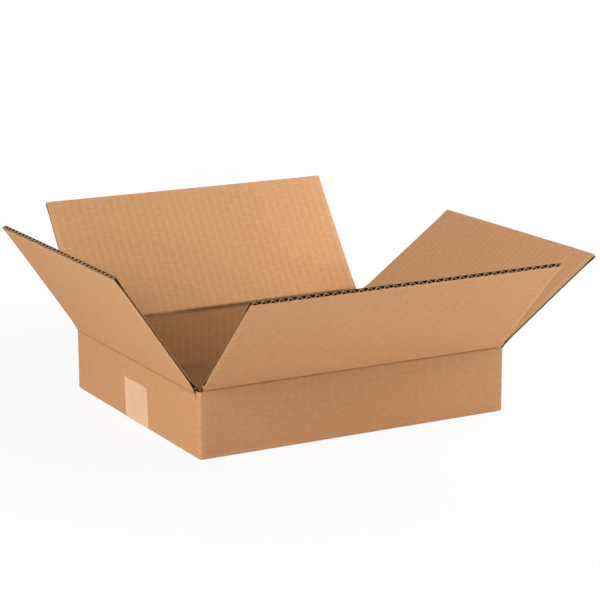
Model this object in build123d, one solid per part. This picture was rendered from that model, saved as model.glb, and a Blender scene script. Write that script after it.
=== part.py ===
from build123d import *
import math
import os

# Sizes are millimetres. X runs along the long front wall, Y from front to back and Z up.
# The origin is the middle of the underside. Front is the long wall nearest the viewer.

# Outer size of the wall ring, over the faces of the board
outer_length = 312.0
outer_width = 268.0
# Height where the cut at each corner slot ends, which is the nominal crease height
slot_floor = 60.4

# C-flute board: two liners and a wavy medium glued between them
board = 4.0
liner = 0.4
medium = 0.35
flute_pitch = 8.25
# Share of a pitch where a flute is open at its liner, halfway and at its far end
mouth_share = 0.43
flank_share = 0.25
tip_share = 0.08

# Folds
corner_fold_outer = 3.5
corner_fold_inner = 0.8
bottom_fold = 2.0
# Length beside a crease where the flutes are crushed shut
crushed_band = 6.0

# How far each top flap leans out from upright in the photograph, in degrees
front_angle = 44.5
back_angle = 36.5
left_angle = 34.5
right_angle = 54.5
# A flap folded right back stops at this angle, just before its edge meets the table
fold_back_angle = 114.0
fold_back_spare_angle = 3.0

# Named clearances
crease_clearance = 0.02
layer_clearance = 0.2
seam_gap = 0.8
tuck_clearance = 0.5
glue_line = 0.05

# Slot from each corner to the side of a flap. The flap is then cut to whole flutes.
major_slot = 3.3
minor_slot = 6.0

# Glued lap inside the back right corner
lap_width = 35.0
lap_board = 3.2
lap_taper = 5.0
lap_gap = 2.4

# Sealing tape along the bottom seam and up both end walls
tape_width = 48.0
tape_thickness = 0.2
tape_offset = -5.0
tape_rise_left = 38.8
tape_rise_right = 41.0
tape_side_clearance = 0.2
tooth_pitch = 3.0
tooth_depth = 1.1

# Derived sizes
half_board = board / 2
core = board - 2 * liner
minor_crease = slot_floor - half_board - layer_clearance / 2
major_crease = minor_crease + board + layer_clearance
major_flutes = int((outer_length - 2 * major_slot) / flute_pitch)
minor_flutes = int((outer_width - 2 * minor_slot) / flute_pitch)
major_width = major_flutes * flute_pitch
minor_width = minor_flutes * flute_pitch
flap_length = (outer_width - board - seam_gap) / 2
floor_top = 2 * board + layer_clearance
# The bottom flaps, inside the walls. The long pair shows only between the short pair.
long_bottom_width = outer_length - 2 * board - 2 * tuck_clearance
short_bottom_width = outer_width - 2 * board - 2 * tuck_clearance
short_bottom_reach = flap_length - half_board
floor_gap = outer_length - 2 * board - 2 * short_bottom_reach
long_bottom_flutes = max(1, int(floor_gap / flute_pitch))
short_bottom_flutes = int(short_bottom_width / flute_pitch)


def fluted_face(flutes, width, open_sides):
    """The section across the flutes: X across the sheet, Y through it, outer liner at -Y."""
    span = flutes * flute_pitch
    inner_y = core / 2
    flank_y = 0.75 * medium
    tip_y = -core / 2 + medium + glue_line

    def trough(middle, side):
        points = []
        for share, y in (
            (-mouth_share, inner_y),
            (-flank_share, flank_y),
            (-tip_share, tip_y),
            (tip_share, tip_y),
            (flank_share, flank_y),
            (mouth_share, inner_y),
        ):
            points.append((middle + share * flute_pitch, side * y))
        return Wire.make_polygon(points, close=True)

    def simple_trough(middle, side):
        points = []
        for share, y in (
            (-mouth_share, inner_y),
            (-tip_share, tip_y),
            (tip_share, tip_y),
            (mouth_share, inner_y),
        ):
            points.append((middle + share * flute_pitch, side * y))
        return Wire.make_polygon(points, close=True)

    shape = trough if open_sides else simple_trough
    holes = []
    for k in range(1, flutes):
        holes.append(shape(-span / 2 + k * flute_pitch, 1))
    for k in range(flutes):
        holes.append(shape(-span / 2 + (k + 0.5) * flute_pitch, -1))
    half = width / 2
    if open_sides:
        # The side cuts run through a flute, so each side shows a groove between the liners
        right = [
            (half, -half_board),
            (half, tip_y),
            (half - tip_share * flute_pitch, tip_y),
            (half - flank_share * flute_pitch, flank_y),
            (half - mouth_share * flute_pitch, inner_y),
            (half, inner_y),
            (half, half_board),
        ]
    else:
        right = [(half, -half_board), (half, half_board)]
    left = [(-x, y) for x, y in reversed(right)]
    return Face(Wire.make_polygon(right + left, close=True), holes)


def top_flap(flutes):
    """A flap standing upright: the crease axis is X, the free edge is up and the outside is -Y."""
    width = flutes * flute_pitch
    reach = flap_length - crushed_band
    sheet = extrude(Pos(0, 0, crushed_band) * fluted_face(flutes, width, True), reach, dir=(0, 0, 1))
    bead = half_board + crease_clearance
    between = math.radians(180 - fold_back_angle - fold_back_spare_angle)
    # The outer side of the crushed end is bevelled so the flap can fold back outside the wall
    outer_start = (bead + half_board * math.cos(between)) / math.sin(between)
    bevel_y = (bead - bead * math.sin(between)) / math.cos(between)
    section = Wire.make_polygon(
        [
            (0, half_board, bead),
            (0, bevel_y, bead),
            (0, -half_board, outer_start),
            (0, -half_board, crushed_band),
            (0, half_board, crushed_band),
        ],
        close=True,
    )
    crushed = extrude(Pos(-width / 2, 0, 0) * Face(section), width, dir=(1, 0, 0))
    return sheet + crushed


def placed_flap(flap, turn, lean, distance, height):
    """Lean a flap outwards about its crease and turn it to its side of the box."""
    return Rot(0, 0, turn) * Pos(0, -distance, height) * Rot(lean, 0, 0) * flap


def wall_top(width, base, crease):
    """The top of one wall with the rounded bead its flap turns on, along X and centred on Y."""
    outline = Wire(
        [
            Edge.make_line((0, -half_board, crease), (0, -half_board, base)),
            Edge.make_line((0, -half_board, base), (0, half_board, base)),
            Edge.make_line((0, half_board, base), (0, half_board, crease)),
            Edge.make_three_point_arc(
                (0, half_board, crease),
                (0, 0, crease + half_board),
                (0, -half_board, crease),
            ),
        ]
    )
    return extrude(Pos(-width / 2, 0, 0) * Face(outline), width, dir=(1, 0, 0))


def wall_ring():
    """The four walls, folded at the corners."""
    outer = extrude(RectangleRounded(outer_length, outer_width, corner_fold_outer), slot_floor)
    outer = fillet(outer.edges().group_by(Axis.Z)[0], bottom_fold)
    inner = extrude(
        RectangleRounded(outer_length - 2 * board, outer_width - 2 * board, corner_fold_inner),
        slot_floor,
    )
    ring = outer - inner
    end_x = (outer_length - board) / 2
    side_y = (outer_width - board) / 2
    tuck = minor_width + 2 * tuck_clearance
    for side in (-1, 1):
        lowered = Pos(side * end_x, 0, (minor_crease + slot_floor) / 2 + 1) * Box(
            board + 2, tuck, slot_floor - minor_crease + 2
        )
        ring -= lowered
    for turn in (0, 180):
        ring += Rot(0, 0, turn) * Pos(0, -side_y, 0) * wall_top(
            major_width, slot_floor - 6, major_crease
        )
    for turn in (-90, 90):
        ring += Rot(0, 0, turn) * Pos(0, -end_x, 0) * wall_top(
            minor_width, minor_crease - 6, minor_crease
        )
    return ring


def bottom_flap(flutes, width, length, root):
    """A bottom flap lying flat: it starts inside the wall at Y = -root and runs to its free edge."""
    pocket = crushed_band + root
    sheet = extrude(
        Pos(0, 0, pocket) * fluted_face(flutes, width, False), length - crushed_band, dir=(0, 0, 1)
    )
    crushed = extrude(Rectangle(width, board), pocket, dir=(0, 0, 1))
    return Rot(-90, 0, 0) * (sheet + crushed)


def bottom_flaps():
    """The long pair lies outside and meets at the seam; the short pair lies on it inside the box."""
    root = half_board
    long_reach = outer_width / 2 - board - seam_gap / 2
    long_flap = bottom_flap(long_bottom_flutes, long_bottom_width, long_reach, root)
    short_flap = bottom_flap(short_bottom_flutes, short_bottom_width, short_bottom_reach, root)
    flaps = []
    for turn in (0, 180):
        start = outer_width / 2 - board + root
        flaps.append(Rot(0, 0, turn) * Pos(0, -start, half_board) * long_flap)
    for turn in (-90, 90):
        start = outer_length / 2 - board + root
        height = board + layer_clearance + half_board
        flaps.append(Rot(0, 0, turn) * Pos(0, -start, height) * short_flap)
    return flaps


def glued_lap():
    """The end of the blank, folded round the back right corner and glued inside the back wall."""
    right = outer_length / 2 - board / 2
    left = outer_length / 2 - board - lap_width
    back = outer_width / 2 - board
    low = floor_top + tuck_clearance
    high = minor_crease - half_board - 2 * tuck_clearance
    outline = Wire.make_polygon(
        [
            (right, back - lap_board, low),
            (left, back - lap_board, low + lap_taper),
            (left, back - lap_board, high - lap_taper),
            (right, back - lap_board, high),
        ],
        close=True,
    )
    return extrude(Face(outline), lap_board + half_board, dir=(0, 1, 0))


def lap_corner_cut():
    """What is missing from the ring where the raw end of the back wall meets the right wall."""
    x = outer_length / 2
    y = outer_width / 2
    tall = 2 * slot_floor
    fold = corner_fold_outer
    # Past the raw end of the back wall there is nothing
    beyond = lap_gap + board
    end = Pos(x - lap_gap + beyond / 2, y - board + board, 0) * Box(beyond, 2 * board, tall)
    # The right wall turns into the lap one board further in
    corner = Pos(x - fold / 2 + board / 2, y - board - fold / 2 + board / 2, 0) * Box(
        fold + board, fold + board, tall
    )
    corner -= Pos(x - fold, y - board - fold, 0) * Cylinder(fold, tall)
    corner &= Pos(x - lap_gap + beyond / 2, y - board, 0) * Box(beyond, 2 * board + 2 * fold, tall)
    # The raw end was cut along a flute, so it is open between the liners
    raw_depth = flank_share * flute_pitch
    raw_core = core - medium
    raw = Pos(
        x - lap_gap - raw_depth / 2, y - liner - raw_core / 2, slot_floor / 2 + bottom_fold
    ) * Box(raw_depth, raw_core, slot_floor)
    return end + corner, raw


def tape(width, thickness, teeth):
    """The tape: up the left wall, round the bottom folds, along the seam and up the right wall."""
    x = outer_length / 2
    bend = bottom_fold
    inner_z = thickness
    middle = bend + inner_z
    far = bend + thickness

    def at(side, radius, degrees):
        angle = math.radians(degrees)
        return (
            side * (x - bend + radius * math.sin(angle)),
            0,
            middle - radius * math.cos(angle),
        )

    left_top = tape_rise_left
    right_top = tape_rise_right
    near = tape_offset - width / 2
    far_edge = tape_offset + width / 2
    outline = Wire(
        [
            Edge.make_line((-x, 0, left_top), (-x, 0, middle)),
            Edge.make_three_point_arc(at(-1, bend, 90), at(-1, bend, 45), at(-1, bend, 0)),
            Edge.make_line(at(-1, bend, 0), at(1, bend, 0)),
            Edge.make_three_point_arc(at(1, bend, 0), at(1, bend, 45), at(1, bend, 90)),
            Edge.make_line((x, 0, middle), (x, 0, right_top)),
            Edge.make_line((x, 0, right_top), (x + thickness, 0, right_top)),
            Edge.make_line((x + thickness, 0, right_top), (x + thickness, 0, middle)),
            Edge.make_three_point_arc(at(1, far, 90), at(1, far, 45), at(1, far, 0)),
            Edge.make_line(at(1, far, 0), at(-1, far, 0)),
            Edge.make_three_point_arc(at(-1, far, 0), at(-1, far, 45), at(-1, far, 90)),
            Edge.make_line((-x - thickness, 0, middle), (-x - thickness, 0, left_top)),
            Edge.make_line((-x - thickness, 0, left_top), (-x, 0, left_top)),
        ]
    )
    strip = extrude(Pos(0, near, 0) * Face(outline), width, dir=(0, 1, 0))
    if not teeth:
        return strip
    count = round(width / tooth_pitch)
    for side, top in ((-1, left_top), (1, right_top)):
        points = [(side * x, near - 1, top + 1), (side * x, near - 1, top)]
        for k in range(count + 1):
            y = near + k * width / count
            points.append((side * x, y, top - 0.01 if k % 2 else top))
            if k < count:
                points.append((side * x, y + width / count / 2, top - tooth_depth))
        points.append((side * x, far_edge + 1, top))
        points.append((side * x, far_edge + 1, top + 1))
        cutter = extrude(Pos(-1, 0, 0) * Face(Wire.make_polygon(points, close=True)), 2, dir=(1, 0, 0))
        strip -= cutter
    return strip


def box_body():
    """Walls, glued lap and bottom flaps: one folded sheet."""
    body = wall_ring()
    end, raw = lap_corner_cut()
    body -= end
    body -= raw
    body += glued_lap()
    for flap in bottom_flaps():
        body += flap
    body -= tape(tape_width + 2 * tape_side_clearance, tape_thickness, False)
    return body


def save(shape, name):
    solids = shape.solids()
    if len(solids) != 1:
        raise ValueError(name + " has " + str(len(solids)) + " solids")
    export_step(solids[0], "parts/" + name + ".step")


def main():
    os.makedirs("parts", exist_ok=True)
    side_y = (outer_width - board) / 2
    end_x = (outer_length - board) / 2
    major = top_flap(major_flutes)
    minor = top_flap(minor_flutes)
    save(box_body(), "box_body")
    save(placed_flap(major, 0, front_angle, side_y, major_crease), "front_flap")
    save(placed_flap(major, 180, back_angle, side_y, major_crease), "back_flap")
    save(placed_flap(minor, -90, left_angle, end_x, minor_crease), "left_flap")
    save(placed_flap(minor, 90, right_angle, end_x, minor_crease), "right_flap")
    save(tape(tape_width, tape_thickness, True), "sealing_tape")


main()
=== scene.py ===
import math

import bmesh
import bpy
import numpy as np
from mathutils import Matrix, Vector


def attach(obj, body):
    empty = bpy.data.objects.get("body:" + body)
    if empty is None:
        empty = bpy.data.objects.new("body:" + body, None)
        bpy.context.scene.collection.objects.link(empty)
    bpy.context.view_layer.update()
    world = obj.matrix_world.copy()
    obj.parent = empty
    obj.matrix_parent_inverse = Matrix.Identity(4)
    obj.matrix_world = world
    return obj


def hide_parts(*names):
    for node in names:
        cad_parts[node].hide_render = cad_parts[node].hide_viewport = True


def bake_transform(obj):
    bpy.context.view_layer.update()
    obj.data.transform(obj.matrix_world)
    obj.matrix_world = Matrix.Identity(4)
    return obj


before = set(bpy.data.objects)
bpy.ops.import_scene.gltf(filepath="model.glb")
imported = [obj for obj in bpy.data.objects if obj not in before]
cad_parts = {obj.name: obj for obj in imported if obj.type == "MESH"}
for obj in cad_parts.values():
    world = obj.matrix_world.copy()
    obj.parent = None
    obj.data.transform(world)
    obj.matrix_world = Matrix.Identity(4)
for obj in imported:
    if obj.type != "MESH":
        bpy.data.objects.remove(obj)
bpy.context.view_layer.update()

# Camera, fitted to the photograph's corners
CAMERA_PLACE = (-0.90686, -1.68575, 0.54777)
CAMERA_RIGHT = (0.876916, -0.480633, -0.003259)
CAMERA_UP = (0.113174, 0.199886, 0.973261)
CAMERA_FORWARD = (0.467130, 0.853837, -0.229678)
CAMERA_LENS = 126.206
SENSOR_WIDTH = 36.0

# Sizes of the box in millimetres
LENGTH, WIDTH = 312.0, 268.0
BOARD, LINER, MEDIUM, PITCH = 4.0, 0.40, 0.42, 8.25
HALF = BOARD / 2
SLOT_FLOOR, MINOR_CREASE, MAJOR_CREASE = 60.4, 58.3, 62.5
MAJOR_FLUTES, MINOR_FLUTES = 37, 31
MAJOR_WIDTH, MINOR_WIDTH = MAJOR_FLUTES * PITCH, MINOR_FLUTES * PITCH
FLAP_LENGTH = 131.6
CORNER_OUTER, CORNER_INNER, BOTTOM_FOLD = 3.3, 0.8, 2.0
LAP_WIDTH, LAP_BOARD, LAP_GAP, LAP_TAPER = 35.0, 3.2, 2.4, 5.0
LAP_LOW, LAP_HIGH = 9.0, 55.0
TAPE_WIDTH, TAPE_GAUGE, TAPE_OFFSET = 48.0, 0.2, -5.0
TAPE_LEFT, TAPE_RIGHT = 38.8, 41.0
# How much sheet a corner fold takes up, and in how many steps it is drawn
CORNER_SHEET, CORNER_STEPS = 3.0, 8
# How far the liners sink between the flutes, outside and inside, and how unevenly
SINK_OUTER, SINK_INNER = 0.025, 0.115
RIPPLE_LOW, RIPPLE_HIGH = 0.55, 1.25
# All flaps but the back one show this share of the inside sink
FLAP_SINK = 0.35
# How finely a flap is drawn: steps a flute, rows, and steps a flute in the medium
FLAP_STEPS, FLAP_ROWS, FLAP_WAVE_STEPS = 8, 16, 12
# The corner folds draw the outer liner in by this depth, over this reach
ROLL_REACH, ROLL_DEPTH = 7.5, 0.5
# Cutting has pressed the side edges of the flaps together by this much on each side. It begins
# this far from the crease, is full this much further, and eases by a share at the free corner
PRESSED, PRESS_REACH = 1.05, 4.0
PRESS_START, PRESS_RISE = 6.0, 8.0
EASE_FROM, EASE_OVER, EASE = 16.0, 14.0, 0.6
# Half the board where it is crushed, how far from the crease that lasts and where it ends
CRUSHED, CRUSH_FLAT, CRUSH_REACH = 1.25, 1.6, 3.6
# The skin over a crease: how far it stands off, how far it reaches and how its ends tuck in
SKIN, SKIN_REACH, SKIN_TUCK = 0.035, 4.9, 0.06
# The scored line outside, its section as shares of width and depth, and the stretched inside
SCORE_WIDTH, SCORE_DEPTH, SCORE_WANDER = 1.5, 0.5, 0.10
SCORE_HALF = ((0.7, 0.22), (0.4, 0.62), (0.15, 0.94))
STRETCH_DEPTH, STRETCH_STEPS = 0.28, 8
# Half the stretch of board that bends between a wall and its flap
BEND_SPAN = 2.6
# Where the liners of a flap start from its crease, inside and outside, and those of the bottom
FLAP_STARTS, BOTTOM_STARTS = (2.02, 3.32), (0.5, 0.5)
# Rows of points along a panel: by the crease, from and to, and back from the free edge
FOOT_ROWS, MIDDLE_ROWS, EDGE_ROWS = (4.2, 6.0, 9.0), (15.0, 7.0), (2.5, 0.6, 0.0)
WAVE_ROWS, WAVE_EDGE_ROWS = (6.0, 9.0, 20.0, 50.0, 80.0), (20.0, 9.0, 3.5, 1.0, 0.1)
# The panels bow a little, past a flat foot
BOW, FLAT_FOOT = 0.4, 8.0
# A short flap's foot is narrower by this much on each side, to pass the folded lap
TRIM, TRIM_REACH, TRIM_TOP, TRIM_FADE = 1.8, 5.0, 6.5, 3.0
# How ragged the free edge is cut, and two nicks in the left flap: from the crease, and deep
RAGGED = 0.09
NICKS = ((65.4, 0.9), (47.9, 0.7))
# The medium: its gauge inside the board, how much more one flank has at the free edge, and how
# far back from there that lasts
THIN_MEDIUM, FLANK, FLANK_REACH = 0.32, 0.24, 3.0
# How unevenly the flutes lie, as a share of the pitch, and how soon a slope counts as a flank
LEAN, STEEP = 0.05, 1.6
# The bottom: how far its panels run into the walls' foot, half the gap at the seam, the gap at
# both sides together, and the heights between which each layer lies
TUCK, SEAM, SIDE_GAP = 1.5, 0.4, 1.0
OUTER_LAYER, INNER_LAYER = (TAPE_GAUGE + 0.02, 4.0), (4.2, 8.2)
# The tape: teeth, roughness of the tear, skew of each end, and the film's underside
TOOTH_PITCH, TOOTH_DEPTH, TEAR = 3.0, 0.85, 0.35
TAPE_SKEW = {"left": 3.0, "right": -1.2}
SKEW_FROM, SKEW_RISE = 2.0, 39.0
WRINKLE, CURL, UNDERSIDE = 0.05, 0.35, 0.02

# Turn, lean, distance from the middle, height of the crease and number of flutes
FLAPS = {
    "front": (0.0, 44.5, (WIDTH - BOARD) / 2, MAJOR_CREASE, MAJOR_FLUTES),
    "back": (180.0, 36.5, (WIDTH - BOARD) / 2, MAJOR_CREASE, MAJOR_FLUTES),
    "left": (-90.0, 34.5, (LENGTH - BOARD) / 2, MINOR_CREASE, MINOR_FLUTES),
    "right": (90.0, 54.5, (LENGTH - BOARD) / 2, MINOR_CREASE, MINOR_FLUTES),
}
# Height of the wall's top by the kind of edge that it has
TOPS = {"major": MAJOR_CREASE, "minor": MINOR_CREASE, "slot": SLOT_FLOOR, "lap": SLOT_FLOOR}

# How much painted shade each scored line takes
SCORE_SHADES = {"front": 0.55, "back": 0.95, "left": 0.42, "right": 0.60}

# Colours by part, linear
# Painted shade: the walls outside take a darker copy of the flaps' board colour, for the shade the flaps
# cast on them
WALL_SHADED = (0.512, 0.270, 0.126)
FLAP = (0.598, 0.317, 0.151)
FLAP_INSIDE = (0.618, 0.328, 0.155)
# Painted shade: the walls inside are darker than the same liner on the flaps, and the bottom inside
# darker still, for the shade inside the box
WALL_INSIDE_SHADED = (0.448, 0.238, 0.104)
BOTTOM_INSIDE_SHADED = (0.300, 0.146, 0.058)
CUT = (0.640, 0.370, 0.190)
CUT_INSIDE = (0.380, 0.205, 0.098)
MEDIUM_PAPER = (0.520, 0.290, 0.140)
# Painted shade: near black for the faces inside the flutes and hollows of the board
CORE_SHADE = (0.075, 0.036, 0.017)
# Painted shade: the dark brown that creases, nicks and the deep flutes are darkened toward
SHADE_COLOUR = (0.110, 0.050, 0.020)
RUBBED = (0.700, 0.430, 0.245)
TAPE = (0.680, 0.400, 0.222)
# Painted sheen on the tape's rims
TAPE_RIM_SHEEN = (0.82, 0.57, 0.38)

# Places in the lists of materials; the last two are there for the creases alone
OUTER, INNER, EDGE, DARK, WAVE, DIM, WALL_OUTER, WALL_INNER = range(8)

# Softboxes: azimuth from the front toward the right, elevation, distance, size, watts
LAMPS = (
    ("lamp_left", -75, 24, 2.3, 1.1, 34.5),
    ("lamp_left_high", -50, 38, 2.3, 1.1, 12.2),
    ("lamp_front_right", 30, 14, 2.3, 1.1, 9.3),
    ("lamp_right_near", 60, 30, 0.8, 0.3, 2.15),
    ("lamp_back_near", 100, 30, 0.6, 0.25, 1.5),
)
LAMP_AIM = (0, 0, 0.06)
# A low panel in front: place, length, width and watts
PANEL_PLACE, PANEL_LENGTH, PANEL_WIDTH, PANEL_WATTS = (0.05, -0.50, 0.002), 0.9, 0.45, 0.48
WORLD_STRENGTH = 0.06
# The studio floor: half its side, its height, its grey, and where and how far it fades to white
FLOOR_HALF, FLOOR_HEIGHT, FLOOR_GREY = 6.0, -0.00005, 0.95
FADE_FROM, FADE_TO, FADE_LEAST, FADE_MOST = 0.22, 0.60, 0.88, 1.0


def smooth(t):
    t = np.clip(t, 0.0, 1.0)
    return t * t * (3 - 2 * t)


def spun(x, y, z, turn):
    """Points turned about the upright axis."""
    t = math.radians(turn)
    return np.stack([math.cos(t) * x - math.sin(t) * y, math.sin(t) * x + math.cos(t) * y, z], -1)


def turned(points, turn, lean, distance, height):
    """Flap coordinates (across, through, along) to the frame, in millimetres."""
    a = math.radians(lean)
    y = points[..., 1] * math.cos(a) - points[..., 2] * math.sin(a) - distance
    z = points[..., 1] * math.sin(a) + points[..., 2] * math.cos(a) + height
    return spun(points[..., 0], y, z, turn)


def ripple(count, rng):
    """How strongly each flute shows through the liner."""
    return rng.uniform(RIPPLE_LOW, RIPPLE_HIGH, count + 2)


class Build:
    """One mesh from grids of millimetre points. Every point keeps its place on the sheet, how much it is
    lightened (rubbed wear, painted highlight and painted sheen) and how much painted shade it has."""

    def __init__(self):
        self.points, self.places, self.shades = [], [], []
        self.faces, self.kinds, self.count = [], [], 0

    def add(self, points, places, shades):
        start = self.count
        flat = points.reshape(-1, 3)
        self.points.append(flat)
        self.places.append(places.reshape(-1, 2))
        self.shades.append(shades.reshape(-1, 2))
        self.count += len(flat)
        return start

    def slab(self, top, bottom, places, kinds, shades):
        """Two grids of the same size, joined round their rim."""
        rows, columns = top.shape[:2]
        bases = (self.add(top, places, shades), self.add(bottom, places, shades))
        for base, kind in zip(bases, kinds):
            for i in range(rows - 1):
                k = base + i * columns
                for j in range(columns - 1):
                    self.faces.append((k + j, k + j + 1, k + columns + j + 1, k + columns + j))
            self.kinds += [kind] * ((rows - 1) * (columns - 1))
        rim = [(0, j) for j in range(columns)]
        rim += [(i, columns - 1) for i in range(1, rows)]
        rim += [(rows - 1, j) for j in range(columns - 2, -1, -1)]
        rim += [(i, 0) for i in range(rows - 2, 0, -1)]
        a, b = bases
        for (i, j), (m, n) in zip(rim, rim[1:] + rim[:1]):
            p, q = i * columns + j, m * columns + n
            self.faces.append((a + p, a + q, b + q, b + p))
        self.kinds += [kinds[2]] * len(rim)

    def loop(self, grid, places, kinds, cap, shades):
        """A grid whose second direction closes on itself, capped at both ends."""
        rows, columns = grid.shape[:2]
        a = self.add(grid, places, shades)
        for i in range(rows - 1):
            r, s = a + i * columns, a + (i + 1) * columns
            for j in range(columns):
                n = (j + 1) % columns
                self.faces.append((r + j, r + n, s + n, s + j))
            self.kinds += kinds
        last = a + (rows - 1) * columns
        self.faces.append(tuple(a + j for j in range(columns)))
        self.faces.append(tuple(last + j for j in range(columns)))
        self.kinds += [cap, cap]

    def piece(self, name, body, materials, slot, sharp=32.0, replaces=()):
        points = np.concatenate(self.points) / 1000.0
        mesh = bpy.data.meshes.new(name)
        mesh.from_pydata(points.tolist(), [], self.faces)
        index = np.empty(len(mesh.loops), np.int32)
        mesh.loops.foreach_get("vertex_index", index)
        layers = (("board", np.concatenate(self.places) / 1000.0), ("shade", np.concatenate(self.shades)))
        for layer_name, values in layers:
            layer = mesh.uv_layers.new(name=layer_name)
            layer.data.foreach_set("uv", values[index].astype(np.float32).ravel())
        mesh.polygons.foreach_set("material_index", np.array(self.kinds, np.int32))
        work = bmesh.new()
        work.from_mesh(mesh)
        bmesh.ops.recalc_face_normals(work, faces=work.faces)
        limit = math.radians(sharp)
        for face in work.faces:
            face.smooth = True
        for edge in work.edges:
            edge.smooth = edge.calc_face_angle(0.0) < limit
        work.to_mesh(mesh)
        work.free()
        for material in materials:
            mesh.materials.append(material)
        obj = bpy.data.objects.new(name, mesh)
        bpy.context.scene.collection.objects.link(obj)
        if body:
            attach(obj, body)
        if replaces:
            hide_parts(*replaces)
        return obj


# Rubbed paper: how much and how far in, at the free edge and at the sides
EDGE_RUB, EDGE_RUB_REACH, SIDE_RUB, SIDE_RUB_REACH = 0.55, 0.8, 0.4, 0.7
# A nick: half its length, how far in it bites, and the half length and reach of the painted shade in it
NICK_HALF, NICK_REACH, NICK_SHADE, NICK_SHADE_REACH = 1.1, 0.6, 1.2, 0.9
# The sag starts this far from the crease, over this reach; the liner's back takes a share of it
SAG_FROM, SAG_OVER, BACK_SAG = 4.6, 8.0, 0.6
# How far the sag drifts between flutes as a share of the pitch, and its lengths each way
DRIFT, DRIFT_ACROSS, DRIFT_ALONG = 0.024, 37.0, 61.0
# Rows this near to a liner's start are left out, and rows this near to the free edge are cut
ROW_GAP, LINER_CUT_ROW, MEDIUM_CUT_ROW = 0.3, 0.3, 0.5
# The cut leaves the medium a little short or long. Painted shade darkens its inside from here, over this
# reach
CUT_SHORT, CUT_LONG = -0.14, 0.06
DARK_FROM, DARK_OVER, DARK_FLANK = 0.05, 2.6, 1.2
# How blunt the wave is, how soon its flanks change and how far it stays from the side edges
BLUNT, FLANK_FADE, SIDE_CLEAR = 0.9, 2.5, 0.02


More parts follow.
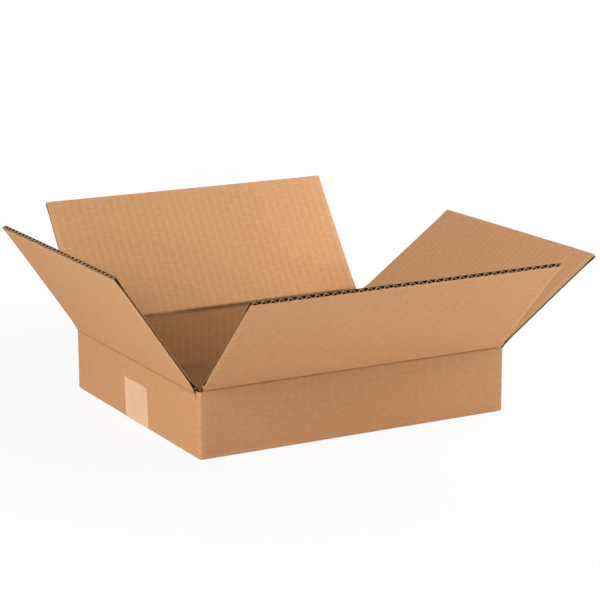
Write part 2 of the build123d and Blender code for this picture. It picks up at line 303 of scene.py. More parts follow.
class Panel:
    """One panel of board: two liners that sink a little between the flutes, and the wavy medium.
    Across the panel runs u, from its middle, and along the flutes s, from its crease."""

    def __init__(self, flutes, width, length, place, rng, crushed=True, bow=0.0):
        self.flutes, self.width, self.length = flutes, width, length
        self.span = flutes * PITCH
        self.place, self.rng, self.crushed = place, rng, crushed
        self.bow = rng.uniform(0.2, 1, 3) * bow

    def inset(self, u):
        """How far a point is from the nearer side edge."""
        return self.width / 2 - abs(u)

    def bend(self, u, s):
        far = np.clip((s - FLAT_FOOT) / (self.length - FLAT_FOOT), 0, 1)
        wave = self.bow[0] * np.sin(math.pi * (u / self.width + 0.5))
        wave = wave + self.bow[1] * (0.5 + u / self.width)
        return far * far * wave + self.bow[2] * np.sin(math.pi * far) * far

    def half_thickness(self, s):
        if not self.crushed:
            return np.full_like(s, HALF)
        return CRUSHED + (HALF - CRUSHED) * smooth((s - CRUSH_FLAT) / (CRUSH_REACH - CRUSH_FLAT))

    def press(self, u, s):
        """The slit long edges are pressed flat, less so by the crease and by the free corner."""
        if not self.crushed:
            return np.zeros_like(u)
        eased = 1 - EASE * smooth((s - self.length + EASE_FROM) / EASE_OVER)
        share = smooth((s - PRESS_START) / PRESS_RISE) * eased
        return PRESSED * smooth(1 - self.inset(u) / PRESS_REACH) * share

    def sag(self, u, s, glued, sink):
        """How far the liner sinks between the lines where it is glued to the medium."""
        strength = ripple(self.flutes, self.rng)
        show = np.interp(u + self.span / 2, PITCH * np.arange(self.flutes + 2), strength)
        drift = np.sin(u / DRIFT_ACROSS + s / DRIFT_ALONG + self.rng.uniform(0, 6))
        turns = (u + DRIFT * PITCH * drift + self.span / 2 - glued) / PITCH
        return sink * show * (1 - np.cos(2 * math.pi * turns)) / 2

    def ragged(self, count):
        """How far the cut edge strays, finely and in longer waves."""
        fine, slow = self.rng.uniform(-1, 1, (2, count))
        return RAGGED * (fine + np.convolve(slow, np.ones(9) / 4, "same"))

    def liner(self, build, side, start, sink, steps_a_flute, rows, nicks=(), trim=0.0):
        """Side -1 is the liner outside the box and side 1 the one inside."""
        length = self.length
        steps = np.concatenate([
            FOOT_ROWS,
            np.linspace(MIDDLE_ROWS[0], length - MIDDLE_ROWS[1], rows),
            length - np.array(EDGE_ROWS),
        ])
        across = np.linspace(-self.width / 2, self.width / 2, self.flutes * steps_a_flute + 1)
        s_line = np.concatenate([[start], steps[steps > start + ROW_GAP]])
        u, s = np.meshgrid(across, s_line, indexing="ij")
        sag = self.sag(u, s, PITCH / 2 if side > 0 else 0.0, sink)
        h = self.half_thickness(s) - self.press(u, s)
        s_cut = s + (s > length - LINER_CUT_ROW) * self.ragged(len(across))[:, None]
        shift = trim * np.sign(u) * smooth(1 - self.inset(u) / TRIM_REACH)
        shift = shift * smooth((TRIM_TOP - s) / TRIM_FADE)
        rubbed = EDGE_RUB * np.exp(-(length - s) / EDGE_RUB_REACH)
        rubbed = rubbed + SIDE_RUB * np.exp(-self.inset(u) / SIDE_RUB_REACH)
        dark = np.zeros_like(u)
        for along, depth in nicks:
            bite = np.exp(-((s - along) / NICK_HALF) ** 2)
            shift += bite * (u > self.width / 2 - NICK_REACH) * depth
            # Painted shade darkens the liner by each nick
            dark += np.exp(-((s - along) / NICK_SHADE) ** 2
                           - ((self.width / 2 - u) / NICK_SHADE_REACH) ** 2)
        lift = self.bend(u, s)
        fade = smooth((s - SAG_FROM) / SAG_OVER)
        top = np.stack([u - shift, side * (h - sag * fade) + lift, s_cut], -1)
        # By the crease, where the medium has not begun, the liner fills its half of the board
        under = np.where(s < WAVE_ROWS[0], 0.0, h - LINER - sag * fade * BACK_SAG) * side
        low = np.stack([u - shift, under + lift, s_cut], -1)
        kinds = (OUTER, DARK, EDGE) if side < 0 else (INNER, DARK, DIM)
        build.slab(self.place(top), self.place(low), np.stack([u, s], -1), kinds,
                   np.stack([rubbed, np.clip(dark, 0, 1)], -1))

    def medium(self, build, steps_a_flute):
        """A wave that leans a little differently from flute to flute."""
        flutes, width, length = self.flutes, self.width, self.length
        t = np.arange(flutes * steps_a_flute + 1) / steps_a_flute
        jitter = self.rng.uniform(-LEAN, LEAN, flutes + 2)
        u = -self.span / 2 + PITCH * (t + np.interp(t, np.arange(flutes + 2), jitter))
        u = u * width / self.span
        u[0], u[-1] = -width / 2 + SIDE_CLEAR, width / 2 - SIDE_CLEAR
        wave = -np.cos(2 * math.pi * t)
        v = np.sign(wave) * np.abs(wave) ** BLUNT * (BOARD - 2 * LINER - MEDIUM) / 2
        du, dv = np.gradient(u), np.gradient(v)
        size = np.hypot(du, dv)
        s_line = np.concatenate([WAVE_ROWS, length - np.array(WAVE_EDGE_ROWS)])
        uu, ss = np.meshgrid(u, s_line, indexing="ij")
        near = smooth((ss - (length - FLANK_REACH)) / FLANK_FADE)
        # At the free edge the flanks that climb toward the inside are thicker than the others
        climb = np.clip(dv / size * STEEP, -1, 1)[:, None]
        gauge = THIN_MEDIUM + (MEDIUM - THIN_MEDIUM + FLANK * climb) * near
        scale = (self.half_thickness(ss) - self.press(uu, ss) - LINER) / (HALF - LINER)
        stray = self.rng.uniform(CUT_SHORT, CUT_LONG, u.shape)[:, None]
        cut = ss + (ss > length - MEDIUM_CUT_ROW) * stray
        faces = []
        for side in (-1, 1):
            off = side * gauge / 2
            faces.append(self.place(np.stack([
                uu - off * (dv / size)[:, None],
                (v[:, None] + off * (du / size)[:, None]) * scale + self.bend(uu, ss),
                cut,
            ], -1)))
        # Painted shade darkens the medium deep inside the flutes, away from the cut
        inside = smooth((length - DARK_FROM - ss) / (DARK_OVER + DARK_FLANK * climb))
        build.slab(faces[0], faces[1], np.stack([uu, ss], -1), (WAVE, WAVE, EDGE),
                   np.stack([np.zeros_like(inside), inside], -1))


def flap_piece(name, rng, materials):
    turn, lean, distance, height, flutes = FLAPS[name]
    long_flap = flutes == MAJOR_FLUTES
    # Long flaps bow outward and short ones inward, so that they clear each other when closed
    panel = Panel(flutes, flutes * PITCH, FLAP_LENGTH,
                  lambda points: turned(points, turn, lean, distance, height), rng,
                  bow=-BOW if long_flap else BOW)
    build = Build()
    sinks = {-1: SINK_OUTER, 1: SINK_INNER if name == "back" else SINK_INNER * FLAP_SINK}
    for side, start in ((-1, FLAP_STARTS[1]), (1, FLAP_STARTS[0])):
        panel.liner(build, side, start, sinks[side], FLAP_STEPS, FLAP_ROWS,
                    nicks=NICKS if name == "left" else (), trim=0.0 if long_flap else TRIM)
    panel.medium(build, FLAP_WAVE_STEPS)
    return build.piece(name + "_flap_board", name + "_flap", materials, "kraft_liner",
                       replaces=(name + "_flap",))


# How much painted shade a skin takes: beside the score, inside by the fold, how fast that fades, and in
# the fold
RIM_DARK, INNER_DARK, INNER_FADE, STRETCH_DARK, STRETCH_MORE = 0.12, 1.3, 0.55, 1.2, 0.3
# How far a skin stays from the flap's sides, and over how many columns its line wanders
SKIN_SIDE, WANDER_SPAN = 0.03, 17
# How strong its painted shade is, and how much that varies as the line wanders
STRENGTH, STRENGTH_WANDER = 0.9, 0.35


def crease_section(lean):
    """One section through a crease's skin: points out from the crease and up, how much painted shade each
    takes and its material. It runs up outside, round the top and down inside."""
    a = math.radians(lean)
    up = np.array((math.sin(a), math.cos(a)))
    out = np.array((math.cos(a), -math.sin(a)))
    h = HALF + SKIN
    kink = h * math.tan(a / 2)
    path, darks, kinds = [], [], []

    def put(point, dark, kind):
        path.append(tuple(point))
        darks.append(dark)
        kinds.append(kind)

    corner = np.array((h, -kink))
    inward = -corner / np.linalg.norm(corner)
    outer_steps = ((SCORE_WIDTH, RIM_DARK), (2.2, 0.0), (3.0, 0.0), (SKIN_REACH - 0.4, 0.0))
    put((h - SKIN_TUCK, -SKIN_REACH - kink), 0.0, WALL_OUTER)
    for below, dark in outer_steps[::-1]:
        put((h, -below - kink), dark, WALL_OUTER)
    down = np.array((0.0, -1.0))
    halves = ((down, WALL_OUTER, SCORE_HALF), (up, OUTER, SCORE_HALF[::-1]))
    for direction, kind, half in halves:
        for share, deep in half:
            spot = corner + direction * share * SCORE_WIDTH + inward * SCORE_DEPTH * deep
            put(spot, RIM_DARK + (1 - RIM_DARK) * deep, kind)
    for along, dark in outer_steps:
        put(out * h + up * (kink + along), dark, OUTER)
    put(out * (h - SKIN_TUCK) + up * (kink + SKIN_REACH), 0.0, OUTER)
    put(-out * (h - SKIN_TUCK) + up * SKIN_REACH, 0.0, INNER)
    inner_steps = (0.6, 1.2, 2.0, 3.0, SKIN_REACH - 0.4)
    for along in inner_steps[::-1]:
        put(-out * h + up * along, max(0.0, INNER_DARK - along * INNER_FADE), INNER)
    for k in range(STRETCH_STEPS + 1):
        stretch = math.sin(math.pi * k / STRETCH_STEPS)
        angle = a * (1 - k / STRETCH_STEPS)
        radius = h - STRETCH_DEPTH * stretch
        spot = (-radius * math.cos(angle), radius * math.sin(angle))
        put(spot, STRETCH_DARK + STRETCH_MORE * stretch, INNER)
    for below in inner_steps:
        put((-h, -below), max(0.0, INNER_DARK - below * INNER_FADE), WALL_INNER)
    put((-h + SKIN_TUCK, -SKIN_REACH), 0.0, WALL_INNER)
    return np.array(path), np.array(darks), kinds


def crease_piece(name, rng, materials, score_shade):
    """The liner over a flap's crease: scored outside, stretched inside."""
    turn, lean, distance, height, flutes = FLAPS[name]
    half_width = flutes * PITCH / 2 - SKIN_SIDE
    path, darks, kinds = crease_section(lean)
    columns = np.linspace(-half_width, half_width, flutes * 4 + 1)
    wander = rng.uniform(-1, 1, len(columns) + WANDER_SPAN - 1)
    wander = np.convolve(wander, np.ones(WANDER_SPAN) / 5, "valid")
    grid = np.empty((len(columns), len(path), 3))
    grid[..., 0] = columns[:, None]
    grid[..., 1] = -path[:, 0][None, :]
    grid[..., 2] = path[:, 1][None, :]
    scored = np.array([d > 0.3 and k in (OUTER, WALL_OUTER) for d, k in zip(darks, kinds)])
    grid[..., 2] += scored[None, :] * wander[:, None] * SCORE_WANDER
    # These points are upright already, so only the turn and the place are left
    world = turned(grid, turn, 0.0, distance, height)
    along = np.cumsum(np.r_[0, np.linalg.norm(np.diff(path, axis=0), axis=1)]) - SKIN_REACH
    places = np.stack(np.broadcast_arrays(columns[:, None], along[None, :]), -1)
    strength = score_shade * (STRENGTH + STRENGTH_WANDER * wander)
    # Painted shade in and beside the crease
    dark = np.clip(darks[None, :] * strength[:, None], 0, 1)
    build = Build()
    build.loop(world, places, kinds, DARK, np.stack([np.zeros_like(dark), dark], -1))
    piece = build.piece(name + "_crease", None, materials, "kraft_liner", sharp=50.0)
    a = math.radians(lean)
    ends = np.array([[0, 0, -BEND_SPAN], [0, -BEND_SPAN * math.sin(a), BEND_SPAN * math.cos(a)]])
    ends = turned(ends, turn, 0.0, distance, height)
    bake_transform(piece)
    return piece


# How far a corner fold's lightening reaches along the wall, and how strong it is: partly rubbed wear,
# partly painted highlight
FOLD_REACH, FOLD_RUB_AND_HIGHLIGHT = 1.6, 0.15
# Steps in a quarter turn of the section; the wall's rows: the first, the last below the top, count
ROUND_STEPS, WALL_FIRST, WALL_LAST, WALL_ROWS = 5, 5.0, 7.0, 8
TOP_ROWS = (5.4, 3.6, 2.4, 1.4, 0.0)
# The wall is crushed all through for this far below its crease
PINCH_FLAT = 1.0
# At a cut top the medium lies this deep between the liners
CUT_DEEP = 3.0
# The sinking between flutes fades this far from the top and the foot, over these reaches
WASH_TOP, WASH_TOP_FADE, WASH_FOOT, WASH_FOOT_FADE = 5.0, 6.0, 3.0, 5.0
# The foot of the walls is rubbed: how much, from what height and how far; and how scuffed it is
FOOT_RUB, FOOT_RUB_FROM, FOOT_RUB_REACH = 0.5, 1.2, 0.9
SCUFF_SPAN, SCUFF_LEAST, SCUFF_MORE = 31, 0.6, 0.8


def wall_columns():
    """Along the folded strip: outer point, inner point, place, kind of top edge, share of the
    lap, how near a corner fold is and how far that fold draws the liner in."""
    x, y = LENGTH / 2, WIDTH / 2
    step = PITCH / 8
    columns = []
    place = 0.0

    def straight(start, end, normal, stops, thick=BOARD):
        nonlocal place
        start, end = np.array(start, float), np.array(end, float)
        run = np.linalg.norm(end - start)
        direction = (end - start) / run
        low = 0.0
        for high, kind in stops:
            count = max(1, int(round((high - low) / step)))
            for d in np.linspace(low, high, count + 1):
                o = start + direction * d
                near = min(d, run - d)
                fold = math.exp(-near / FOLD_REACH)
                roll = ROLL_DEPTH * max(0.0, 1 - near / ROLL_REACH) ** 2
                if thick != BOARD:
                    roll = 0.0
                inner = o - np.array(normal) * thick
                columns.append((o, inner, place + d, kind, d / run, fold, roll))
            low = high
        place += run

    def corner(centre, inner_centre, angle):
        nonlocal place
        for k in range(1, CORNER_STEPS):
            t = math.radians(angle + 90.0 * k / CORNER_STEPS)
            n = np.array([math.cos(t), math.sin(t)])
            outer = np.array(centre) + n * CORNER_OUTER
            inner = np.array(inner_centre) + n * CORNER_INNER
            columns.append((outer, inner, place + CORNER_SHEET * k / CORNER_STEPS, "slot", 0.0, 1.0,
                            ROLL_DEPTH))
        place += CORNER_SHEET

    r, q = CORNER_OUTER, BOARD + CORNER_INNER
    major, minor = MAJOR_WIDTH / 2, MINOR_WIDTH / 2
    # Back wall, from its raw end at the glued corner
    raw = x - LAP_GAP
    straight((raw, y), (-x + r, y), (0, 1),
             [(raw - major, "slot"), (raw + major, "major"), (raw + x - r, "slot")])
    corner((-x + r, y - r), (-x + q, y - q), 90)
    # Left wall
    gap = y - r - minor
    straight((-x, y - r), (-x, -y + r), (-1, 0),
             [(gap, "slot"), (gap + 2 * minor, "minor"), (2 * (y - r), "slot")])
    corner((-x + r, -y + r), (-x + q, -y + q), 180)
    # Front wall
    gap = x - r - major
    straight((-x + r, -y), (x - r, -y), (0, -1),
             [(gap, "slot"), (gap + 2 * major, "major"), (2 * (x - r), "slot")])
    corner((x - r, -y + r), (x - q, -y + q), 270)
    # Right wall, and the lap inside the back wall
    top = y - BOARD - r
    straight((x, -y + r), (x, top), (1, 0),
             [(y - r - minor, "slot"), (y - r + minor, "minor"), (y - r + top, "slot")])
    corner((x - r, top), (x - q, y - BOARD - LAP_BOARD - CORNER_INNER), 0)
    end = LENGTH / 2 - BOARD - LAP_WIDTH
    straight((x - r, y - BOARD), (end, y - BOARD), (0, 1), [(x - r - end, "lap")], thick=LAP_BOARD)
    return columns


def wall_section(kind):
    """One section through the wall: depth into the board from outside, and height."""
    points = []
    turn = 90.0 / ROUND_STEPS
    for k in range(ROUND_STEPS + 1):
        a = math.radians(turn * k)
        points.append((BOTTOM_FOLD * (1 - math.sin(a)), TAPE_GAUGE + BOTTOM_FOLD * (1 - math.cos(a))))
    crease = TOPS[kind]
    beaded = kind in ("major", "minor")
    low_rows = np.linspace(WALL_FIRST, crease - WALL_LAST, WALL_ROWS)
    rises = np.concatenate([low_rows, crease - np.array(TOP_ROWS)])

    def pinch(z):
        if not beaded:
            return 0.0
        share = smooth((crease - z - PINCH_FLAT) / (CRUSH_REACH - PINCH_FLAT))
        return (HALF - CRUSHED) * float(1 - share)

    for z in rises:
        points.append((pinch(z), z))
    if beaded:
        for k in range(1, 2 * ROUND_STEPS):
            a = math.radians(turn * k)
            points.append((HALF - CRUSHED * math.cos(a), crease + CRUSHED * math.sin(a)))
    else:
        # A cut edge: the two liners stand, and the medium lies between them
        deep = crease - CUT_DEEP
        points += [(LINER, crease), (LINER + 0.02, deep), (1.3, deep + 0.5), (2.0, deep + 0.9),
                   (2.7, deep + 0.5), (3.2, deep + 0.2), (BOARD - LINER - 0.02, deep),
                   (BOARD - LINER, crease), (BOARD - 0.01, crease)]
    for z in rises[::-1]:
        points.append((BOARD - pinch(z), z))
    points.append((BOARD, TAPE_GAUGE))
    return points


def wall_kinds():
    """The material of each strip of the wall's section."""
    section = wall_section("slot")
    kinds = []
    for (d, z), (e, w) in zip(section, section[1:] + section[:1]):
        if d < 0.05 and e < 0.05 or z < 3 and w < 3:
            kinds.append(OUTER)
        elif d > BOARD - 0.05 and e > BOARD - 0.05:
            kinds.append(INNER)
        elif min(z, w) > SLOT_FLOOR - 0.1:
            kinds.append(EDGE)
        else:
            kinds.append(DARK)
    return kinds


def walls_piece(rng, materials):
    columns = wall_columns()
    grid, places, shades = [], [], []
    total = columns[-1][2]
    count = int(total / PITCH) + 2
    show = ripple(count, rng), ripple(count, rng)
    scuff = rng.uniform(0, 1, len(columns) + SCUFF_SPAN - 1)
    scuff = np.convolve(scuff, np.ones(SCUFF_SPAN) / SCUFF_SPAN, "valid")
    for n, (o, i, place, kind, share, fold, roll) in enumerate(columns):
        thick = np.linalg.norm(i - o)
        normal = (i - o) / thick
        crease = TOPS[kind]
        wave = math.cos(2 * math.pi * place / PITCH)
        strong = [np.interp(place / PITCH, np.arange(count + 2), side) for side in show]
        row, spot, shade = [], [], []
        for deep, level in wall_section(kind):
            z = level
            if kind == "lap":
                low = LAP_LOW + LAP_TAPER * share
                high = LAP_HIGH - LAP_TAPER * share
                z = low + (high - low) * (level - TAPE_GAUGE) / (SLOT_FLOOR - TAPE_GAUGE)
            wash = 0.0
            fade = float(smooth((crease - level - WASH_TOP) / WASH_TOP_FADE))
            fade = fade * float(smooth((level - WASH_FOOT) / WASH_FOOT_FADE)) * (1 - fold)
            if deep < 0.01:
                wash = SINK_OUTER * fade * strong[0] * (1 - wave) / 2
            elif deep > BOARD - 0.01:
                wash = -SINK_INNER * fade * strong[1] * (1 + wave) / 2
            inset = roll * max(0.0, 1 - deep / HALF)
            p = o + normal * (deep / BOARD * thick + wash + inset)
            row.append((p[0], p[1], z))
            spot.append((place, z))
            low_edge = FOOT_RUB * math.exp(-max(0.0, level - FOOT_RUB_FROM) / FOOT_RUB_REACH)
            # The corner folds are lightened: partly rubbed wear, partly painted highlight on the rounded
            # fold
            rubbed = max(fold * FOLD_RUB_AND_HIGHLIGHT, low_edge) if deep < HALF + 0.1 else 0.0
            shade.append((rubbed * (SCUFF_LEAST + SCUFF_MORE * scuff[n]), 0.0))
        grid.append(row)
        places.append(spot)
        shades.append(shade)
    build = Build()
    build.loop(np.array(grid), np.array(places), wall_kinds(), EDGE, np.array(shades))
    return build.piece("carton_walls", "box", materials, "kraft_board", replaces=("box_body",))


def floor_piece(rng, materials):
    """The four bottom flaps: the long pair outside, the short pair on it."""
    build = Build()
    long_reach = WIDTH / 2 - BOARD - SEAM + TUCK
    short_reach = FLAP_LENGTH - HALF + TUCK
    long_width, short_width = LENGTH - 2 * BOARD - SIDE_GAP, WIDTH - 2 * BOARD - SIDE_GAP

    def lay(turn, start, layer):
        low, high = layer

        def place(p):
            z = (low + high) / 2 + p[..., 1] * (high - low) / BOARD
            return spun(p[..., 0], p[..., 2] - start, z, turn)
        return place

    # Turns, flutes, width, length, where the flap starts, its layer, and steps of the grids
    pairs = (
        ((0, 180), 36, long_width, long_reach, WIDTH / 2 - BOARD + TUCK, OUTER_LAYER, 4, 4, 8),
        ((-90, 90), 31, short_width, short_reach, LENGTH / 2 - BOARD + TUCK, INNER_LAYER, 6, 5, 10),
    )
    for turns, flutes, width, reach, start, layer, fine, rows, wave_fine in pairs:
        for turn in turns:
            panel = Panel(flutes, width, reach, lay(turn, start, layer), rng, crushed=False)
            panel.liner(build, -1, BOTTOM_STARTS[1], SINK_OUTER, fine, rows)
            panel.liner(build, 1, BOTTOM_STARTS[0], SINK_INNER, fine, rows)
            panel.medium(build, wave_fine)
    return build.piece("carton_floor", "box", materials, "kraft_board")


# How much longer the corner that tore last is, and over what reach, at each end of the tape
LONG_CORNER = {"left": (1.1, 2.2), "right": (1.0, 2.0)}
# Points across the tape, up each end and along the bottom
TAPE_COLUMNS, END_ROWS, RUN_ROWS = 65, 15, 40
# How fast the wrinkles turn across and along, and where the end begins to curl and how far in
WRINKLE_ACROSS, WRINKLE_ALONG, CURL_FROM, CURL_REACH = 0.42, 0.05, 0.93, 2.5
# How wide the tape's rim of painted sheen is
RIM_SHEEN_REACH = 0.9


def torn_ends(rng, across):
    """How far each end of the tape is torn back: a toothed blade, and one corner left long."""
    teeth = np.abs(((across / TOOTH_PITCH) % 1.0) - 0.5) * 2.0
    torn = {}
    for side in ("left", "right"):
        rough = np.convolve(rng.uniform(-1, 1, len(across)), [0.3, 0.4, 0.3], "same")
        torn[side] = TOOTH_DEPTH * teeth + TEAR * rough
    more, reach = LONG_CORNER["left"]
    torn["left"] -= more * np.exp(-(TAPE_WIDTH / 2 - across) / reach)
    more, reach = LONG_CORNER["right"]
    torn["right"] -= more * np.exp(-(across + TAPE_WIDTH / 2) / reach)
    return torn


def tape_path():
    """Along the tape: the stretch it is on, its share of the rise, place, normal and height."""
    x, bend = LENGTH / 2, BOTTOM_FOLD
    arcs = [math.radians(10 * k) for k in range(1, 9)]

    def fold(side, a):
        place = side * (x - bend + bend * math.cos(a))
        return ("fold", 0, place, (side * math.cos(a), -math.sin(a)), bend - bend * math.sin(a))

    path = [("left", rise, -x, (-1.0, 0.0), 0.0) for rise in np.linspace(1.0, 0.0, END_ROWS)]
    path += [fold(-1, a) for a in arcs]
    path += [("floor", 0, (x - bend) * f, (0.0, -1.0), 0.0) for f in np.linspace(-1, 1, RUN_ROWS)]
    path += [fold(1, a) for a in arcs[::-1]]
    path += [("right", rise, x, (1.0, 0.0), 0.0) for rise in np.linspace(0.0, 1.0, END_ROWS)]
    return path


def tape_piece(rng, material):
    """The sealing tape: torn off on a toothed blade, a little skew on the left wall."""
    across = np.linspace(-TAPE_WIDTH / 2, TAPE_WIDTH / 2, TAPE_COLUMNS)
    path = tape_path()
    torn = torn_ends(rng, across)
    wrinkle_phase = rng.uniform(0, 6, 3)[0]
    foot = TAPE_GAUGE + BOTTOM_FOLD
    full = np.ones_like(across)
    grids = []
    for gauge in (TAPE_GAUGE, UNDERSIDE):
        rows = []
        for kind, rise, px, normal, height in path:
            y = across + TAPE_OFFSET
            if kind in ("left", "right"):
                top = (TAPE_LEFT if kind == "left" else TAPE_RIGHT) - torn[kind]
                z = foot + rise * (top - TAPE_GAUGE - BOTTOM_FOLD)
                y = y + TAPE_SKEW[kind] * (z - SKEW_FROM) / SKEW_RISE
                wrinkle = np.sin(across * WRINKLE_ACROSS + wrinkle_phase + z * WRINKLE_ALONG) ** 6
                lifted = smooth((rise - CURL_FROM) / (1 - CURL_FROM))
                lifted = lifted * np.exp(-(TAPE_WIDTH / 2 - across) / CURL_REACH)
                lift = gauge + (WRINKLE * wrinkle + CURL * lifted) * (rise > 0.0)
                rows.append(np.stack([px + normal[0] * lift, y, z], -1))
            else:
                px2 = px + normal[0] * gauge
                z2 = TAPE_GAUGE + height + normal[1] * gauge
                rows.append(np.stack([px2 * full, y, z2 * full], -1))
        grids.append(np.array(rows))
    middle = grids[0][:, len(across) // 2]
    along = np.cumsum(np.r_[0, np.linalg.norm(np.diff(middle, axis=0), axis=1)])
    places = np.stack(np.broadcast_arrays(across[None, :], along[:, None]), -1)
    # The paler rim is painted sheen
    rim = np.exp(-(TAPE_WIDTH / 2 - abs(across)) / RIM_SHEEN_REACH)
    shades = np.stack(np.broadcast_arrays(rim[None, :], np.zeros((len(path), 1))), -1)
    build = Build()
    build.slab(grids[0], grids[1], places, (0, 0, 0), shades)
    return build.piece("tape_strip", "box", [material], "tan_tape", replaces=("sealing_tape",))


class Graph:
    """Short hands for the nodes of one material."""

    def __init__(self, name):
        self.material = bpy.data.materials.new(name)
        self.material.use_nodes = True
        self.tree = self.material.node_tree
        self.tree.nodes.clear()
        self.out = self.tree.nodes.new("ShaderNodeOutputMaterial")

    def put(self, socket, value):
        if hasattr(value, "is_linked"):
            self.tree.links.new(value, socket)
        elif isinstance(value, tuple) and len(value) == 3 and socket.type == "RGBA":
            socket.default_value = (*value, 1.0)
        else:
            socket.default_value = value

    def math(self, operation, a, b=0.0, clamp=False):
        node = self.tree.nodes.new("ShaderNodeMath")
        node.operation = operation
        node.use_clamp = clamp
        self.put(node.inputs[0], a)
        self.put(node.inputs[1], b)
        return node.outputs[0]

    def weighted(self, parts):
        """The sum of the patterns, each times its weight."""
        total = None
        for pattern, weight in parts:
            scaled = self.math("MULTIPLY", pattern, weight)
            total = scaled if total is None else self.math("ADD", total, scaled)
        return total

    def mix(self, share, a, b, blend="MIX"):
        node = self.tree.nodes.new("ShaderNodeMix")
        node.data_type = "RGBA"
        node.blend_type = blend
        self.put(node.inputs[0], share)
        self.put(node.inputs[6], a)
        self.put(node.inputs[7], b)
        return node.outputs[2]

    def sheet(self, layer):
        node = self.tree.nodes.new("ShaderNodeUVMap")
        node.uv_map = layer
        split = self.tree.nodes.new("ShaderNodeSeparateXYZ")
        self.put(split.inputs[0], node.outputs[0])
        return split.outputs[0], split.outputs[1]

    def noise(self, place, grains, seed, turn=0.0, detail=2.0, rough=0.5):
        """A pattern on the sheet that has so many grains to the metre each way."""
        join = self.tree.nodes.new("ShaderNodeCombineXYZ")
        self.put(join.inputs[0], place[0])
        self.put(join.inputs[1], place[1])
        turned_place = self.tree.nodes.new("ShaderNodeMapping")
        self.put(turned_place.inputs["Vector"], join.outputs[0])
        turned_place.inputs["Rotation"].default_value = (0.0, 0.0, turn)
        scaled = self.tree.nodes.new("ShaderNodeMapping")
        self.put(scaled.inputs["Vector"], turned_place.outputs[0])
        scaled.inputs["Scale"].default_value = (*grains, 1.0)
        scaled.inputs["Location"].default_value = (seed * 3.7, seed * 1.3, seed)
        node = self.tree.nodes.new("ShaderNodeTexNoise")
        node.inputs["Scale"].default_value = 1.0
        node.inputs["Detail"].default_value = detail
        node.inputs["Roughness"].default_value = rough
        self.put(node.inputs["Vector"], scaled.outputs[0])
        return node.outputs["Fac"]

    def ramp(self, value, low, high, to_low=0.0, to_high=1.0):
        node = self.tree.nodes.new("ShaderNodeMapRange")
        node.interpolation_type = "SMOOTHSTEP"
        for k, number in ((1, low), (2, high), (3, to_low), (4, to_high)):
            node.inputs[k].default_value = number
        self.put(node.inputs[0], value)
        return node.outputs[0]

    def shader(self, colour, roughness, height, bump, specular=0.25, coat=0.0):
        node = self.tree.nodes.new("ShaderNodeBsdfPrincipled")
        self.put(node.inputs["Base Color"], colour)
        self.put(node.inputs["Roughness"], roughness)
        node.inputs["Specular IOR Level"].default_value = specular
        if coat:
            node.inputs["Coat Weight"].default_value = coat
            node.inputs["Coat Roughness"].default_value = 0.22
        bumps = self.tree.nodes.new("ShaderNodeBump")
        bumps.inputs["Strength"].default_value = bump
        bumps.inputs["Distance"].default_value = 0.0002
        self.put(bumps.inputs["Height"], height)
        self.put(node.inputs["Normal"], bumps.outputs[0])
        self.put(self.out.inputs["Surface"], node.outputs[0])
        return self.material


def tinted(colour, factors):
    """A colour with each channel times its factor, kept within white."""
    return tuple(min(1.0, channel * factor) for channel, factor in zip(colour, factors))


def kraft_material(name, colour, seed, stripes):
    """Kraft liner: long fibres across the flutes, clouds, flecks, and stripes along the flutes that are
    partly glue lines and partly painted shade of the washboard.
    """
    g = Graph(name)
    place = g.sheet("board")
    rubbed, dark = g.sheet("shade")
    cloud = g.noise(place, (9, 13), seed, detail=3.0)
    grain = g.noise(place, (130, 330), seed + 1, detail=4.0, rough=0.6)
    fibre_a = g.noise(place, (190, 1900), seed + 2, turn=0.12, rough=0.6)
    fibre_b = g.noise(place, (1500, 260), seed + 3, turn=0.5, rough=0.6)
    flecks = g.noise(place, (420, 900), seed + 4, turn=-0.3, detail=1.0)
    uneven = g.noise(place, (40, 16), seed + 5)
    # Stripes along the flutes: partly glue lines, partly painted shade of the washboard
    wave = g.math("COSINE", g.math("MULTIPLY", place[0], 2 * math.pi / (PITCH / 1000)))
    band = g.math("MULTIPLY", wave, g.math("MULTIPLY", uneven, stripes * 2))
    tone = g.math("ADD", 1.0, band)
    for part, weight in ((cloud, 0.12), (grain, 0.34), (fibre_a, 0.20), (fibre_b, 0.12)):
        tone = g.math("ADD", tone, g.math("MULTIPLY", g.math("SUBTRACT", part, 0.5), weight))
    shade = g.tree.nodes.new("ShaderNodeCombineXYZ")
    for k in range(3):
        g.put(shade.inputs[k], tone)
    warm = g.mix(g.ramp(cloud, 0.35, 0.7), colour, tinted(colour, (0.99, 0.975, 0.94)))
    base = g.mix(1.0, warm, shade.outputs[0], "MULTIPLY")
    dark_flecks = g.ramp(flecks, 0.70, 0.78, to_high=0.45)
    base = g.mix(dark_flecks, base, tinted(colour, (0.55, 0.55, 0.55)))
    pale_flecks = g.ramp(flecks, 0.28, 0.22, to_high=0.35)
    base = g.mix(pale_flecks, base, RUBBED)
    # Lightened where the rubbed channel says: wear at the edges and foot, and painted highlight at the
    # corner folds
    worn = g.math("MULTIPLY", rubbed, g.ramp(grain, 0.30, 0.62), clamp=True)
    base = g.mix(g.math("MULTIPLY", worn, 0.75), base, RUBBED)
    # Painted shade: darkened toward a dark brown in the creases, by the nicks and deep in the flutes
    base = g.mix(g.math("MULTIPLY", dark, 0.9, clamp=True), base, SHADE_COLOUR)
    roughness = g.math("ADD", 0.78, g.math("MULTIPLY", grain, 0.12))
    height = g.weighted(((fibre_a, 0.6), (fibre_b, 0.4), (grain, 0.5)))
    return g.shader(base, roughness, height, bump=0.28)


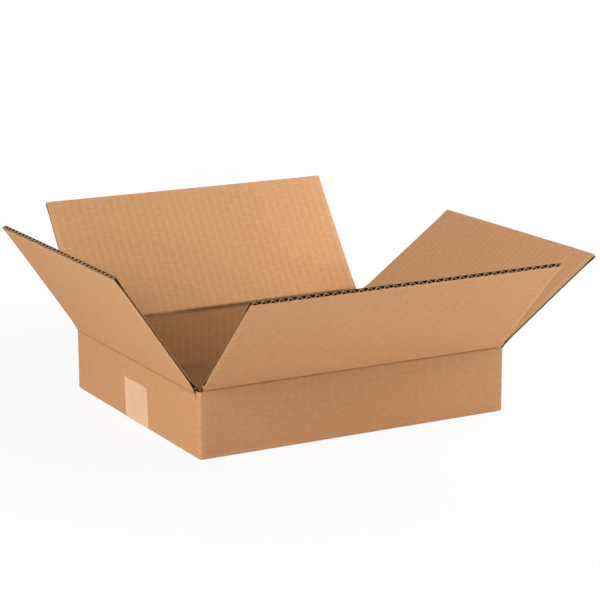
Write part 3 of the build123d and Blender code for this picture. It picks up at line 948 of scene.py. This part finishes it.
def edge_material(name, colour, seed):
    """Cut paper: short torn fibres, rougher and more uneven than the liner."""
    g = Graph(name)
    place = g.sheet("board")
    grain = g.noise(place, (700, 700), seed, detail=3.0, rough=0.65)
    fibre = g.noise(place, (2600, 900), seed + 1, rough=0.6)
    base = g.mix(g.ramp(grain, 0.3, 0.7), tinted(colour, (0.72, 0.72, 0.72)), colour)
    base = g.mix(g.ramp(fibre, 0.4, 0.75, to_high=0.5), base, tinted(colour, (1.15, 1.15, 1.15)))
    roughness = g.math("ADD", 0.86, g.math("MULTIPLY", fibre, 0.1))
    return g.shader(base, roughness, fibre, bump=0.6, specular=0.15)


def tape_material(name, colour, seed):
    """Tan packing tape: smooth film with faint draw lines, adhesive clouds, and rims made paler as
    painted sheen.
    """
    g = Graph(name)
    place = g.sheet("board")
    rim, _ = g.sheet("shade")
    lines = g.noise(place, (380, 14), seed, detail=3.0, rough=0.6)
    cloud = g.noise(place, (60, 45), seed + 1, detail=4.0, rough=0.6)
    fine = g.noise(place, (900, 900), seed + 2)
    dull, bright = tinted(colour, (0.955, 0.955, 0.955)), tinted(colour, (1.03, 1.03, 1.03))
    base = g.mix(g.ramp(cloud, 0.36, 0.66), dull, bright)
    base = g.mix(g.ramp(lines, 0.42, 0.7, to_high=0.45), base, tinted(colour, (1.06, 1.10, 1.16)))
    # Painted sheen: the rims are paler
    base = g.mix(g.math("MULTIPLY", rim, 0.6, clamp=True), base, TAPE_RIM_SHEEN)
    roughness = g.math("ADD", 0.30, g.math("MULTIPLY", cloud, 0.22))
    height = g.weighted(((lines, 0.7), (fine, 0.25)))
    return g.shader(base, roughness, height, bump=0.25, specular=0.45, coat=0.15)


def add_camera():
    data = bpy.data.cameras.new("camera")
    data.sensor_width = SENSOR_WIDTH
    data.sensor_fit = "HORIZONTAL"
    data.lens = CAMERA_LENS
    data.clip_end = 50.0
    camera = bpy.data.objects.new("camera", data)
    bpy.context.scene.collection.objects.link(camera)
    r, u, f = Vector(CAMERA_RIGHT), Vector(CAMERA_UP), Vector(CAMERA_FORWARD)
    place = Vector(CAMERA_PLACE)
    camera.matrix_world = Matrix((
        (r.x, u.x, -f.x, place.x),
        (r.y, u.y, -f.y, place.y),
        (r.z, u.z, -f.z, place.z),
        (0.0, 0.0, 0.0, 1.0),
    ))
    bpy.context.scene.camera = camera


def add_lamp(name, shape, size, watts, place, rotation):
    data = bpy.data.lights.new(name, "AREA")
    data.shape = shape
    data.size, data.size_y = size
    data.energy = watts
    lamp = bpy.data.objects.new(name, data)
    bpy.context.scene.collection.objects.link(lamp)
    lamp.location = place
    lamp.rotation_euler = rotation
    lamp.visible_camera = False


def add_lights():
    for name, azimuth, elevation, distance, size, watts in LAMPS:
        a, e = math.radians(azimuth), math.radians(elevation)
        direction = Vector((math.sin(a) * math.cos(e), -math.cos(a) * math.cos(e), math.sin(e)))
        place = direction * distance
        rotation = (Vector(LAMP_AIM) - place).to_track_quat("-Z", "Y").to_euler()
        add_lamp(name, "SQUARE", (size, size), watts, place, rotation)
    # The low panel stands for the light the white sweep sends up under the front flap
    add_lamp("lamp_low_front", "RECTANGLE", (PANEL_LENGTH, PANEL_WIDTH), PANEL_WATTS, PANEL_PLACE,
             (math.pi, 0, 0))


def white_for_view(tree):
    """1 for rays that see the background directly, in a reflection or through glass."""
    path = tree.nodes.new("ShaderNodeLightPath")
    value = path.outputs["Is Camera Ray"]
    for name in ("Is Glossy Ray", "Is Transmission Ray"):
        most = tree.nodes.new("ShaderNodeMath")
        most.operation = "MAXIMUM"
        tree.links.new(value, most.inputs[0])
        tree.links.new(path.outputs[name], most.inputs[1])
        value = most.outputs[0]
    return value


def white_node(tree, kind, strength):
    """A white background or glow."""
    node = tree.nodes.new(kind)
    node.inputs["Color"].default_value = (1, 1, 1, 1)
    node.inputs["Strength"].default_value = strength
    return node.outputs[0]


def mixed(tree, share, a, b):
    """Shader a, with the share of b that is given."""
    node = tree.nodes.new("ShaderNodeMixShader")
    tree.links.new(share, node.inputs[0])
    tree.links.new(a, node.inputs[1])
    tree.links.new(b, node.inputs[2])
    return node.outputs[0]


def add_world():
    world = bpy.data.worlds.new("studio")
    bpy.context.scene.world = world
    world.use_nodes = True
    tree = world.node_tree
    tree.nodes.clear()
    out = tree.nodes.new("ShaderNodeOutputWorld")
    seen = white_node(tree, "ShaderNodeBackground", 1.0)
    lit = white_node(tree, "ShaderNodeBackground", WORLD_STRENGTH)
    tree.links.new(mixed(tree, white_for_view(tree), lit, seen), out.inputs["Surface"])


def floor_material():
    mat = bpy.data.materials.new("studio_floor")
    mat.use_nodes = True
    tree = mat.node_tree
    tree.nodes.clear()
    out = tree.nodes.new("ShaderNodeOutputMaterial")
    diffuse = tree.nodes.new("ShaderNodeBsdfDiffuse")
    diffuse.inputs["Color"].default_value = (FLOOR_GREY, FLOOR_GREY, FLOOR_GREY, 1)
    plain = diffuse.outputs[0]
    glow = white_node(tree, "ShaderNodeEmission", 1.0)
    # Near the object the floor takes its shadow; further out it fades to plain white
    where = tree.nodes.new("ShaderNodeTexCoord")
    length = tree.nodes.new("ShaderNodeVectorMath")
    length.operation = "LENGTH"
    tree.links.new(where.outputs["Object"], length.inputs[0])
    fade = tree.nodes.new("ShaderNodeMapRange")
    for k, number in ((1, FADE_FROM), (2, FADE_TO), (3, FADE_LEAST), (4, FADE_MOST)):
        fade.inputs[k].default_value = number
    tree.links.new(length.outputs["Value"], fade.inputs[0])
    faded = mixed(tree, fade.outputs[0], plain, glow)
    tree.links.new(mixed(tree, white_for_view(tree), plain, faded), out.inputs["Surface"])
    return mat


def add_floor():
    mesh = bpy.data.meshes.new("floor")
    s, z = FLOOR_HALF, FLOOR_HEIGHT
    mesh.from_pydata([(-s, -s, z), (s, -s, z), (s, s, z), (-s, s, z)], [], [(0, 1, 2, 3)])
    floor = bpy.data.objects.new("floor", mesh)
    bpy.context.scene.collection.objects.link(floor)
    mesh.materials.append(floor_material())


rng = np.random.default_rng(7)
wall_outside_shaded = kraft_material("kraft_wall_outside_shaded", WALL_SHADED, 11.0, stripes=0.010)
wall_inside_shaded = kraft_material("kraft_wall_inside_shaded", WALL_INSIDE_SHADED, 17.0, stripes=0.034)
flap_outside = kraft_material("kraft_flap_outside", FLAP, 23.0, stripes=0.010)
flap_inside = kraft_material("kraft_flap_inside", FLAP_INSIDE, 29.0, stripes=0.030)
bottom_inside_shaded = kraft_material("kraft_bottom_inside_shaded", BOTTOM_INSIDE_SHADED, 19.0, stripes=0.018)
tape = tape_material("tan_tape_film", TAPE, 41.0)
# The materials that every piece of board has, in the order EDGE, DARK, WAVE, DIM
shared = [
    edge_material("kraft_cut_edge", CUT, 3.0),
    edge_material("kraft_core_painted_shade", CORE_SHADE, 5.0),
    kraft_material("kraft_medium", MEDIUM_PAPER, 7.0, stripes=0.0),
    edge_material("kraft_cut_edge_inside", CUT_INSIDE, 4.0),
]
body_set = [wall_outside_shaded, wall_inside_shaded] + shared
bottom_set = [wall_outside_shaded, bottom_inside_shaded] + shared
flap_set = [flap_outside, flap_inside] + shared
crease_set = flap_set + [wall_outside_shaded, wall_inside_shaded]
for name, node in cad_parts.items():
    node.data.materials.clear()
    node.data.materials.append(tape if name == "sealing_tape" else wall_outside_shaded)

bpy.context.scene.view_settings.view_transform = "Standard"
add_camera()
walls_piece(rng, body_set)
floor_piece(rng, bottom_set)
tape_piece(rng, tape)
for side in FLAPS:
    flap_piece(side, rng, flap_set)
    crease_piece(side, rng, crease_set, SCORE_SHADES[side])
add_lights()
add_world()
add_floor()
